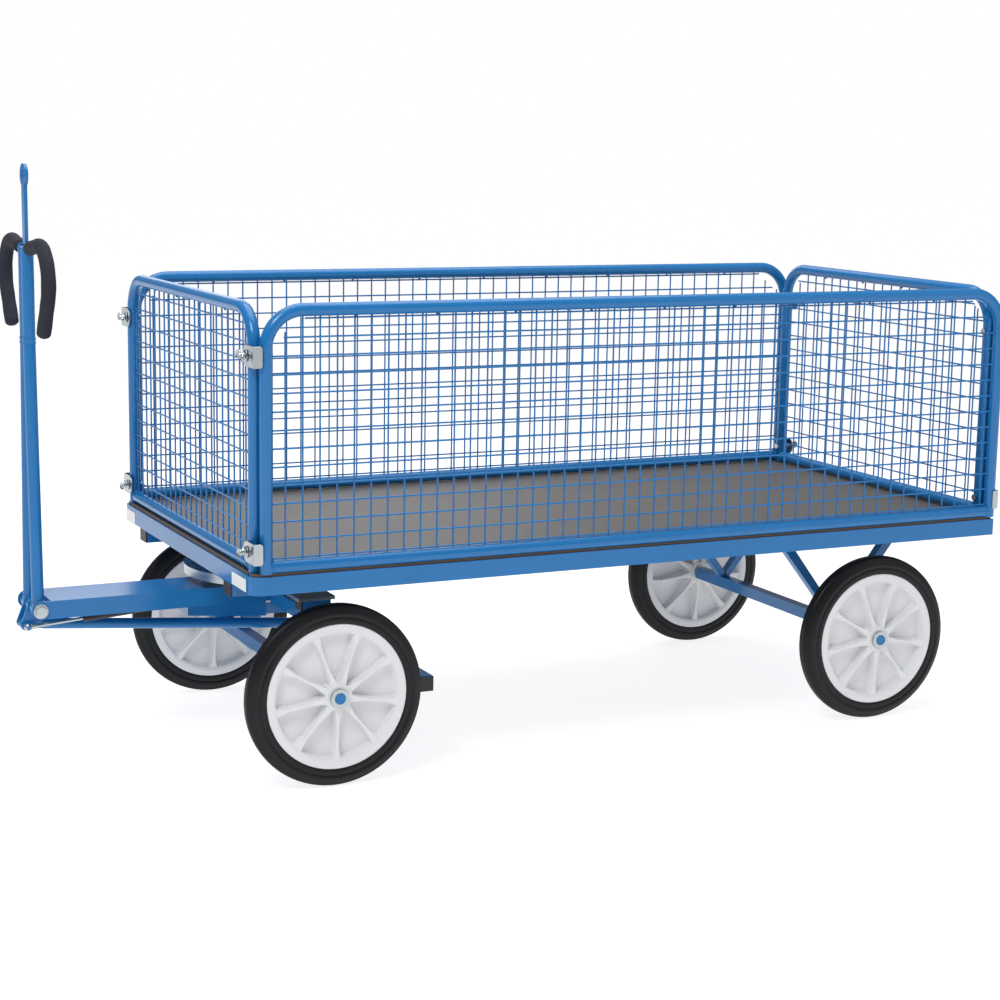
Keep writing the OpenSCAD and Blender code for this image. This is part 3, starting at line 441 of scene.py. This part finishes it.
def tyre_profile(groove):
    """Half a tyre section from the rim outwards and over the shoulder, as (radius, along)."""
    half = [(0.16695, 0.0240), (0.1675, 0.0256), (0.1690, 0.0264), (0.1790, 0.0268), (0.1808, 0.0262),
            (0.1816, 0.0250), (0.1826, 0.0246), (0.1836, 0.0252), (0.1850, 0.0262), (0.1890, 0.0266),
            (0.1930, 0.0260), (0.1965, 0.0247), (0.1995, 0.0229)]
    crown = [(0.2010, 0.0218), (0.2040, 0.0190), (0.2062, 0.0160), (0.2077, 0.0130), (0.2087, 0.0098),
             (0.2093, 0.0064), (0.2096, 0.0030)]
    for radius, along in crown:
        half += [(radius, along + 0.0010), (radius - groove, along + 0.0004),
                 (radius - groove, along - 0.0004), (radius + 0.0003, along - 0.0010)]
    return half


class TRUCK_OT_rims(bpy.types.Operator):
    """Moulded white rims with nine flared spokes on each face"""
    bl_idname = "truck.rims"
    bl_label = "Rims"

    def execute(self, context):
        part = rim_part(context.scene.truck_sizes.web_depth)
        for end, side in CORNERS:
            node = f"rim_{end}_{side}"
            centre = middle(f"tyre_{end}_{side}")
            flip = Matrix.Rotation(math.pi if side == "far" else 0.0, 4, "Z")
            points, faces = moved(part, Matrix.Translation(centre) @ flip)
            mesh = mesh_from(node, points, faces, math.radians(50))
            place_piece(f"moulded_{node}", mesh, "white_plastic", f"wheel_{end}_{side}", [node])
        return {"FINISHED"}


class TRUCK_OT_tyres(bpy.types.Operator):
    """Solid tyres with a stepped sidewall and ribs round the tread"""
    bl_idname = "truck.tyres"
    bl_label = "Tyres"

    def execute(self, context):
        half = tyre_profile(context.scene.truck_sizes.tread_groove)
        section = half + [(radius, -along) for radius, along in reversed(half)]
        part = lathe(section, turns=144)
        for end, side in CORNERS:
            node = f"tyre_{end}_{side}"
            points, faces = moved(part, Matrix.Translation(middle(node)))
            mesh = mesh_from(node, points, faces, math.radians(55))
            place_piece(f"ribbed_{node}", mesh, "black_rubber", f"wheel_{end}_{side}", [node])
        return {"FINISHED"}


# ---------- panels ----------

PANEL_RUNS = {"front": "Y", "rear": "Y", "near": "X", "far": "X"}


def panel_path(low, high, along, flat):
    """Centre line of a panel's bent tube, from one foot over the top to the other."""
    u0, u1 = low[along] + TUBE_R, high[along] - TUBE_R
    top, foot = high[2] - TUBE_R, low[2]
    path = [flat(u0, foot), flat(u0, foot + TUBE_EDGE)]
    path += arc((u0 + BEND_R, top - BEND_R), BEND_R, math.pi, math.pi / 2, 18, flat)
    path += arc((u1 - BEND_R, top - BEND_R), BEND_R, math.pi / 2, 0.0, 18, flat)
    path += [flat(u1, foot + TUBE_EDGE), flat(u1, foot)]
    return path, u0, u1


class TRUCK_OT_panel_tubes(bpy.types.Operator):
    """Bent tube of each mesh panel with its welded bottom rail"""
    bl_idname = "truck.panel_tubes"
    bl_label = "Panel tubes"

    def execute(self, context):
        bead = context.scene.truck_sizes.weld_bead
        for name, run in PANEL_RUNS.items():
            node = f"{name}_panel_frame"
            low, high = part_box(node)
            centre = middle(node)
            along = 0 if run == "X" else 1
            side_axis = Vector((0, 1, 0)) if run == "X" else Vector((1, 0, 0))

            def flat(u, z, run=run, centre=centre):
                return Vector((u, centre.y, z)) if run == "X" else Vector((centre.x, u, z))

            path, u0, u1 = panel_path(low, high, along, flat)
            radii = [TUBE_R - TUBE_EDGE] + [TUBE_R] * (len(path) - 2) + [TUBE_R - TUBE_EDGE]
            parts = [sweep(path, radii, sides=32, side_axis=side_axis)]
            rail_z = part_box(f"{name}_mesh")[0][2] - 0.0146
            rail = [flat(u0 + 0.004, rail_z), flat(u1 - 0.004, rail_z)]
            parts.append(sweep(rail, [TUBE_R - 0.0004] * 2, sides=32, side_axis=side_axis))
            direction = flat(u1, 0) - flat(u0, 0)
            for u in (u0 + TUBE_R + 0.0002, u1 - TUBE_R - 0.0002):
                parts.append(weld_ring(flat(u, rail_z), direction, TUBE_R - 0.0006, bead))
            # short weld tacks between the mesh and the top tube
            mesh_low, mesh_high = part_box(f"{name}_mesh")
            top = high[2] - 2 * TUBE_R
            count = 9 if run == "X" else 4
            for k in range(1, count + 1):
                u = mesh_low[along] + (mesh_high[along] - mesh_low[along]) * k / (count + 1)
                tack = [flat(u, top - 0.004), flat(u, top - 0.001), flat(u, top + 0.0006)]
                parts.append(sweep(tack, [0.0018, 0.0032, 0.0040], sides=10, side_axis=side_axis))
            points, faces = join_parts(parts)
            mesh = mesh_from(node, points, faces, math.radians(60))
            place_piece(f"bent_{node}", mesh, "blue_paint", f"{name}_panel", [node])
        return {"FINISHED"}


# ---------- clamps ----------

def clamp_part(height, width, lip, thick):
    """A plate with a rounded end and a rounded fold into its lip; across is +Y, out is -X."""
    r = height / 2
    fold = corner = 0.006
    stations = []
    for k in range(13):
        angle = math.pi / 2 * k / 12
        across = r * (1 - math.cos(angle))
        stations.append((Vector((0, across, 0)), Vector((-1, 0, 0)), max(0.0008, r * math.sin(angle))))
    stations.append((Vector((0, width - fold, 0)), Vector((-1, 0, 0)), r))
    for k in range(1, 9):
        angle = math.pi / 2 * k / 8
        centre = Vector((fold, width - fold, 0))
        out = Vector((-math.cos(angle), math.sin(angle), 0))
        stations.append((centre + fold * out, out, r))
    for k in range(9):
        angle = math.pi / 2 * k / 8
        along = lip - corner + corner * math.sin(angle)
        half = r - corner + corner * math.cos(angle)
        stations.append((Vector((along, width, 0)), Vector((0, 1, 0)), half))
    points, faces = [], []
    edge = 0.0005
    for at, out, half in stations:
        inner = at - out * thick
        for base, inset in ((at, edge), (inner, edge)):
            points.append(base + Vector((0, 0, half - inset)))
            points.append(base - Vector((0, 0, half - inset)))
        points.append(at - out * edge + Vector((0, 0, half)))
        points.append(at - out * (thick - edge) + Vector((0, 0, half)))
        points.append(at - out * edge - Vector((0, 0, half)))
        points.append(at - out * (thick - edge) - Vector((0, 0, half)))
    ring = (0, 4, 5, 2, 3, 7, 6, 1)
    for k in range(len(stations) - 1):
        a, b = k * 8, (k + 1) * 8
        for i in range(8):
            p, q = ring[i], ring[(i + 1) % 8]
            faces.append((a + p, b + p, b + q, a + q))
    faces.append(tuple(reversed(ring)))
    last = (len(stations) - 1) * 8
    faces.append(tuple(last + i for i in ring))
    return points, faces


def plug(radius, half):
    """A closed round plug on the Y axis, for drilling holes."""
    points, faces = lathe([(radius, -half), (radius, half)], turns=28, closed=False)
    points += [Vector((0, -half, 0)), Vector((0, half, 0))]
    for k in range(28):
        a, b = 2 * k, 2 * ((k + 1) % 28)
        faces.append((a, b, 56))
        faces.append((b + 1, a + 1, 57))
    return points, faces


def drilled(mesh, holes):
    """The mesh with plugs cut out of it."""
    points, faces = join_parts(holes)
    body = bpy.data.objects.new("uncut", mesh)
    tool = bpy.data.objects.new("drill", mesh_from("drill", points, faces))
    for made in (body, tool):
        bpy.context.scene.collection.objects.link(made)
    cut = body.modifiers.new("holes", "BOOLEAN")
    cut.operation = "DIFFERENCE"
    cut.solver = "EXACT"
    cut.object = tool
    result = body.evaluated_get(bpy.context.evaluated_depsgraph_get())
    cut_mesh = bpy.data.meshes.new_from_object(result)
    bpy.data.objects.remove(body)
    bpy.data.objects.remove(tool)
    cut_mesh.set_sharp_from_angle(angle=math.radians(40))
    return cut_mesh


TO_MINUS_X = Matrix.Rotation(math.pi / 2, 4, "Z")
TO_PLUS_X = Matrix.Rotation(-math.pi / 2, 4, "Z")


class TRUCK_OT_clamps(bpy.types.Operator):
    """Folded zinc plates that hold the panels together at the corners"""
    bl_idname = "truck.clamps"
    bl_label = "Corner clamps"

    def execute(self, context):
        for end in ("front", "rear"):
            low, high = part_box(f"{end}_clamps")
            post_y = middle(f"knob_{end}_far_low").y
            width = high[1] - post_y + CLAMP_PAST_POST
            holes = []
            parts = []
            lip = high[0] - low[0]
            part = clamp_part(CLAMP_HEIGHT, width, lip, CLAMP_SHEET)
            for level in (low[2] + CLAMP_HEIGHT / 2, high[2] - CLAMP_HEIGHT / 2):
                for side in (-1, 1):
                    mirror = Matrix.Diagonal((1 if end == "front" else -1, side, 1, 1))
                    x = low[0] if end == "front" else high[0]
                    spot = Matrix.Translation((x, side * (high[1] - width), level))
                    points, faces = moved(part, spot @ mirror)
                    if mirror.determinant() < 0:
                        faces = [tuple(reversed(face)) for face in faces]
                    parts.append((points, faces))
                    for y, wide in ((side * (high[1] - RIVET_INSET), 0.0030), (side * post_y, 0.0043)):
                        spot = Matrix.Translation((x, y, level)) @ TO_MINUS_X
                        holes.append(moved(plug(wide, 0.012), spot))
            points, faces = join_parts(parts)
            mesh = mesh_from(f"{end}_clamps", points, faces, math.radians(40))
            mesh = drilled(mesh, holes)
            place_piece(f"folded_{end}_clamps", mesh, "zinc_plate", f"{end}_panel", [f"{end}_clamps"])
        return {"FINISHED"}


def wing_part(tilt):
    """One dished wing of a knob, reaching towards +X with its hollow towards +Y."""
    profile = []
    radius, dish, thick = 0.0103, 0.0026, 0.0020
    for k in range(9):
        t = k / 8
        profile.append((max(0.0002, radius * t), dish * t * t))
    for k in range(8, -1, -1):
        t = k / 8
        profile.append((max(0.0002, (radius - 0.0004) * t), dish * t * t + thick))
    points, faces = lathe(profile, turns=32)
    return moved((points, faces), Matrix.Rotation(tilt, 4, "Z") @ Matrix.Translation((0.0105, 0, 0)))


def knob_part(tilt):
    """A knob on the Y axis, its base at 0 and its outer end at +Y."""
    hub = [(0.0042, 0.0004), (0.0118, 0.0004), (0.0130, 0.0016), (0.0128, 0.0030), (0.0105, 0.0044),
           (0.0078, 0.0056), (0.0072, 0.0080), (0.0071, 0.0150), (0.0064, 0.0168), (0.0042, 0.0168)]
    parts = [lathe(hub, turns=40)]
    for turn in (0.0, math.pi):
        place = Matrix.Translation((0, 0.0075, 0)) @ Matrix.Rotation(turn, 4, "Y")
        place = place @ Matrix.Translation((0.004, 0, 0))
        parts.append(moved(wing_part(tilt), place))
    return join_parts(parts)


class TRUCK_OT_knobs(bpy.types.Operator):
    """Winged zinc knobs on the clamp bolts"""
    bl_idname = "truck.knobs"
    bl_label = "Clamp knobs"

    def execute(self, context):
        part = knob_part(context.scene.truck_sizes.wing_lift)
        for end, side in CORNERS:
            for level in ("low", "high"):
                node = f"knob_{end}_{side}_{level}"
                low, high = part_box(node)
                centre = (Vector(low) + Vector(high)) / 2
                base_x = high[0] if end == "front" else low[0]
                turn = TO_MINUS_X if end == "front" else TO_PLUS_X
                lean = math.radians(12 if level == "high" else -20)
                spin = Matrix.Rotation(lean, 4, "X")
                spot = Matrix.Translation((base_x, centre.y, centre.z))
                points, faces = moved(part, spot @ spin @ turn)
                mesh = mesh_from(node, points, faces, math.radians(45))
                place_piece(f"winged_{node}", mesh, "zinc_plate", node, [node])
        return {"FINISHED"}


# ---------- drawbar ----------

def handle_base():
    """Height at which the handles leave the drawbar."""
    return middle("pivot_bolt").z + HANDLES_UP


def handle_line(bar_x, base_z, first):
    """Centre line of one handle in the crosswise plane, towards +Y."""
    rise = math.radians(8)
    turn = math.radians(120)
    bend_r, reach, tail = 0.078, 0.116, 0.093
    start = Vector((JOIN_Y, 0.0))
    bend = Vector((reach, (reach - JOIN_Y) * math.tan(rise)))
    centre = bend + bend_r * Vector((math.sin(rise), -math.cos(rise)))
    def flat(y, z):
        return Vector((bar_x, y, base_z + z))

    head = (bend - start).normalized()
    run = (bend - start).length - first
    path = []
    for k in range(6):
        at = start + head * (first + run * k / 6)
        path.append(flat(at.x, at.y))
    path += arc(tuple(centre), bend_r, math.pi / 2 + rise, math.pi / 2 - turn, 28, flat)
    tip = centre + bend_r * Vector((math.sin(turn), math.cos(turn)))
    way = Vector((math.cos(turn), -math.sin(turn)))
    for k in range(1, 9):
        at = tip + way * tail * k / 8
        path.append(flat(at.x, at.y))
    return path


def mirrored_y(part):
    points, faces = part
    return [Vector((p.x, -p.y, p.z)) for p in points], [tuple(reversed(f)) for f in faces]


class TRUCK_OT_grips(bpy.types.Operator):
    """Foam grips pushed over the two handles, with rounded ends"""
    bl_idname = "truck.grips"
    bl_label = "Foam grips"

    def execute(self, context):
        radius = context.scene.truck_sizes.grip_radius
        path = handle_line(middle("grips").x, handle_base(), GRIP_START)
        lengths = [0.0]
        for a, b in zip(path, path[1:]):
            lengths.append(lengths[-1] + (b - a).length)
        total = lengths[-1]
        fine, fine_radii = [], []
        round_end = 0.010
        samples = 150
        for k in range(samples + 1):
            s = total * k / samples
            i = max(j for j in range(len(path)) if lengths[j] <= s + 1e-9)
            i = min(i, len(path) - 2)
            t = (s - lengths[i]) / max(1e-9, lengths[i + 1] - lengths[i])
            fine.append(path[i].lerp(path[i + 1], t))
            shy = 0.0
            if s < 0.004:
                shy = 1 - math.sqrt(max(0.0, 1 - (1 - s / 0.004) ** 2))
                shy *= 0.15
            left = total - s
            if left < round_end:
                shy = 1 - math.sqrt(max(0.0, 1 - (1 - left / round_end) ** 2))
                shy *= 0.80
            ripple = 0.0004 * math.sin(s * 95.0) * math.sin(s * 37.0)
            fine_radii.append(max(0.002, radius * (1 - shy) - 0.0004 + ripple))
        near = sweep(fine, fine_radii, sides=36, side_axis=Vector((1, 0, 0)))
        points, faces = join_parts([near, mirrored_y(near)])
        mesh = mesh_from("grips", points, faces, math.radians(50))
        grips = place_piece("foam_grips", mesh, "black_foam", "drawbar", ["grips"])
        return {"FINISHED"}


class TRUCK_OT_welds(bpy.types.Operator):
    """Weld beads on the drawbar, at its feet, where its two bars meet and where the handles leave it"""
    bl_idname = "truck.welds"
    bl_label = "Weld beads"

    def execute(self, context):
        bead = context.scene.truck_sizes.weld_bead
        pivot = middle("pivot_bolt")
        x = middle("towing_eye").x
        base = handle_base()
        lean = math.atan2(FOOT_PITCH / 2 - JOIN_Y, JOIN_UP)
        parts = []
        for side in (-1, 1):
            run = Vector((0, -side * math.sin(lean), math.cos(lean)))
            root = Vector((x, side * FOOT_PITCH / 2, pivot.z)) + run * 0.0185
            parts.append(weld_ring(root, run, 0.0137, bead))
            for up in (-0.0055, 0.0055):
                joint = (x, side * JOIN_Y, pivot.z + JOIN_UP + up)
                parts.append(weld_ring(joint, (0, 0, 1), 0.0143, bead * 0.6))
            parts.append(weld_ring((x, side * 0.0285, base + 0.0021), (0, side, 0.14), 0.0098, bead * 0.7))
            parts.append(weld_ring((x, side * JOIN_Y, base + 0.0012), (0, 0, 1), 0.0136, bead * 0.7))
        points, faces = join_parts(parts)
        mesh = mesh_from("drawbar_welds", points, faces, math.radians(60))
        place_piece("drawbar_weld_beads", mesh, "blue_paint", "drawbar")
        return {"FINISHED"}


# ---------- CAD pieces ----------

PRESSED = ("deck_frame", "deck_board", "cross_members", "deck_rails", "rail_caps", "ring_bearers",
           "rear_axle", "rear_struts", "rear_collars", "ring_plate", "side_bearers", "bearer_caps",
           "bogie_frame", "front_axle", "pivot_bolt", "front_collars", "towing_eye", "gas_cylinder",
           "brake_bar", "brake_caps", "brake_tube", "drawbar_frame", "front_clamp_bolts",
           "rear_clamp_bolts")


class TRUCK_OT_finishes(bpy.types.Operator):
    """Gives every CAD piece its finish and rounds its sawn and pressed edges"""
    bl_idname = "truck.finishes"
    bl_label = "Finishes"

    def execute(self, context):
        make_finishes(context.scene.truck_colours)
        slots = {entry["node"]: entry["material_slot"] for entry in frame["record"]["subparts"]}
        for name, piece in frame["nodes"].items():
            piece.data.materials.clear()
            piece.data.materials.append(finish(slots[name]))
            if name in PRESSED:
                weld = piece.modifiers.new("join_faces", "WELD")
                weld.merge_threshold = 0.00001
                bevel = piece.modifiers.new("round_edges", "BEVEL")
                bevel.width = context.scene.truck_sizes.edge_round
                bevel.segments = 2
                bevel.limit_method = "ANGLE"
                bevel.angle_limit = math.radians(40)
                bevel.use_clamp_overlap = True
                bevel.harden_normals = False
                even = piece.modifiers.new("even_shading", "WEIGHTED_NORMAL")
                even.keep_sharp = False
        return {"FINISHED"}


# ---------- stage ----------

FLOOR_HALF = 30.0
LAMP_AIM = Vector((0.1, 0, 0.5))
LAMPS = (  # name, place, width, power
    ("key", (-3.0, -2.9, 4.6), 1.6, 120.0), ("fill", (3.8, -3.8, 2.4), 3.0, 16.0),
    ("top", (0.2, 0.4, 5.0), 4.5, 170.0), ("back", (1.0, 5.0, 3.0), 3.0, 40.0))
LENS = 75.97
LENS_SHIFT = (-0.0073, 0.0031)
CAMERA_FROM_BED = (-2.4639, -4.7388, 1.4759)  # ahead of the bed's middle, to its side, off the floor
CAMERA_TURN, CAMERA_LIFT, CAMERA_ROLL = -26.07, 10.14, 1.017


class TRUCK_OT_stage(bpy.types.Operator):
    """Pale floor, soft studio light and the camera"""
    bl_idname = "truck.stage"
    bl_label = "Stage"

    def execute(self, context):
        scene = context.scene
        floor_mesh = bpy.data.meshes.new("floor")
        corners = [(x * FLOOR_HALF, y * FLOOR_HALF, 0) for x, y in ((-1, -1), (1, -1), (1, 1), (-1, 1))]
        floor_mesh.from_pydata(corners, [], [(0, 1, 2, 3)])
        floor = bpy.data.objects.new("floor", floor_mesh)
        scene.collection.objects.link(floor)
        made, shader, _, _ = new_finish("pale_floor")
        shader.inputs["Base Color"].default_value = (0.36, 0.36, 0.365, 1)
        shader.inputs["Roughness"].default_value = 0.75
        shader.inputs["Emission Color"].default_value = (1, 1, 1, 1)
        shader.inputs["Emission Strength"].default_value = 0.84
        shader.inputs["Specular IOR Level"].default_value = 0.1
        floor_mesh.materials.append(made)

        scene.view_settings.view_transform = "Standard"
        world = bpy.data.worlds.new("studio")
        scene.world = world
        world.use_nodes = True
        tree = world.node_tree
        soft = tree.nodes["Background"]
        way = tree.nodes.new("ShaderNodeSeparateXYZ")
        tree.links.new(tree.nodes.new("ShaderNodeTexCoord").outputs["Generated"], way.inputs["Vector"])
        grade = tree.nodes.new("ShaderNodeValToRGB")
        tree.links.new(way.outputs["Z"], grade.inputs["Fac"])
        grade.color_ramp.elements[0].position = 0.02
        grade.color_ramp.elements[0].color = (0.34, 0.36, 0.39, 1)
        grade.color_ramp.elements[1].position = 0.75
        grade.color_ramp.elements[1].color = (1.0, 1.0, 1.0, 1)
        tree.links.new(grade.outputs["Color"], soft.inputs["Color"])
        soft.inputs["Strength"].default_value = 0.48
        plain = tree.nodes.new("ShaderNodeBackground")
        plain.inputs["Color"].default_value = (1, 1, 1, 1)
        rays = tree.nodes.new("ShaderNodeLightPath")
        both = tree.nodes.new("ShaderNodeMixShader")
        tree.links.new(rays.outputs["Is Camera Ray"], both.inputs[0])
        tree.links.new(soft.outputs[0], both.inputs[1])
        tree.links.new(plain.outputs[0], both.inputs[2])
        tree.links.new(both.outputs[0], tree.nodes["World Output"].inputs["Surface"])

        for name, place, wide, power in LAMPS:
            lamp = bpy.data.lights.new(name, "AREA")
            lamp.size = wide
            lamp.energy = power
            holder = bpy.data.objects.new(name, lamp)
            holder.location = place
            aim = LAMP_AIM - Vector(place)
            holder.rotation_euler = aim.to_track_quat("-Z", "Y").to_euler()
            scene.collection.objects.link(holder)

        lens = bpy.data.cameras.new("truck_camera")
        lens.lens = LENS
        lens.sensor_width = 36.0
        lens.shift_x, lens.shift_y = LENS_SHIFT
        camera = bpy.data.objects.new("truck_camera", lens)
        turn, lift, roll = (math.radians(angle) for angle in (CAMERA_TURN, CAMERA_LIFT, CAMERA_ROLL))
        level = Vector((math.cos(turn), math.sin(turn), 0))
        forward = Vector((-math.sin(turn) * math.cos(lift), math.cos(turn) * math.cos(lift),
                          -math.sin(lift)))
        right = level * math.cos(roll) + level.cross(forward) * math.sin(roll)
        up = right.cross(forward)
        basis = Matrix((right, up, -forward)).transposed().to_4x4()
        along, aside, up_off_floor = CAMERA_FROM_BED
        place = (middle("deck_board").x + along, aside, up_off_floor)
        camera.matrix_world = Matrix.Translation(place) @ basis
        scene.collection.objects.link(camera)
        scene.camera = camera
        return {"FINISHED"}


# ---------- panel and registration ----------

STEPS = (TRUCK_OT_finishes, TRUCK_OT_rims, TRUCK_OT_tyres, TRUCK_OT_panel_tubes, TRUCK_OT_clamps,
         TRUCK_OT_knobs, TRUCK_OT_grips, TRUCK_OT_welds, TRUCK_OT_stage)


class TRUCK_PT_sidebar(bpy.types.Panel):
    """Lists the truck's pieces in the sidebar"""
    bl_idname = "TRUCK_PT_sidebar"
    bl_label = "Platform truck"
    bl_space_type = "VIEW_3D"
    bl_region_type = "UI"
    bl_category = "Truck"

    def draw(self, context):
        for group in (context.scene.truck_colours, context.scene.truck_sizes):
            for key in group.__annotations__:
                self.layout.prop(group, key)
        for step in STEPS:
            self.layout.operator(step.bl_idname)


CLASSES = (TruckColours, TruckSizes) + STEPS + (TRUCK_PT_sidebar,)


def register():
    for made in CLASSES:
        bpy.utils.register_class(made)
    bpy.types.Scene.truck_colours = bpy.props.PointerProperty(type=TruckColours)
    bpy.types.Scene.truck_sizes = bpy.props.PointerProperty(type=TruckSizes)


def unregister():
    del bpy.types.Scene.truck_sizes
    del bpy.types.Scene.truck_colours
    for made in reversed(CLASSES):
        bpy.utils.unregister_class(made)


def main():
    register()
    for step in STEPS:
        group, name = step.bl_idname.split(".")
        getattr(getattr(bpy.ops, group), name)()


if __name__ == "__main__":
    main()
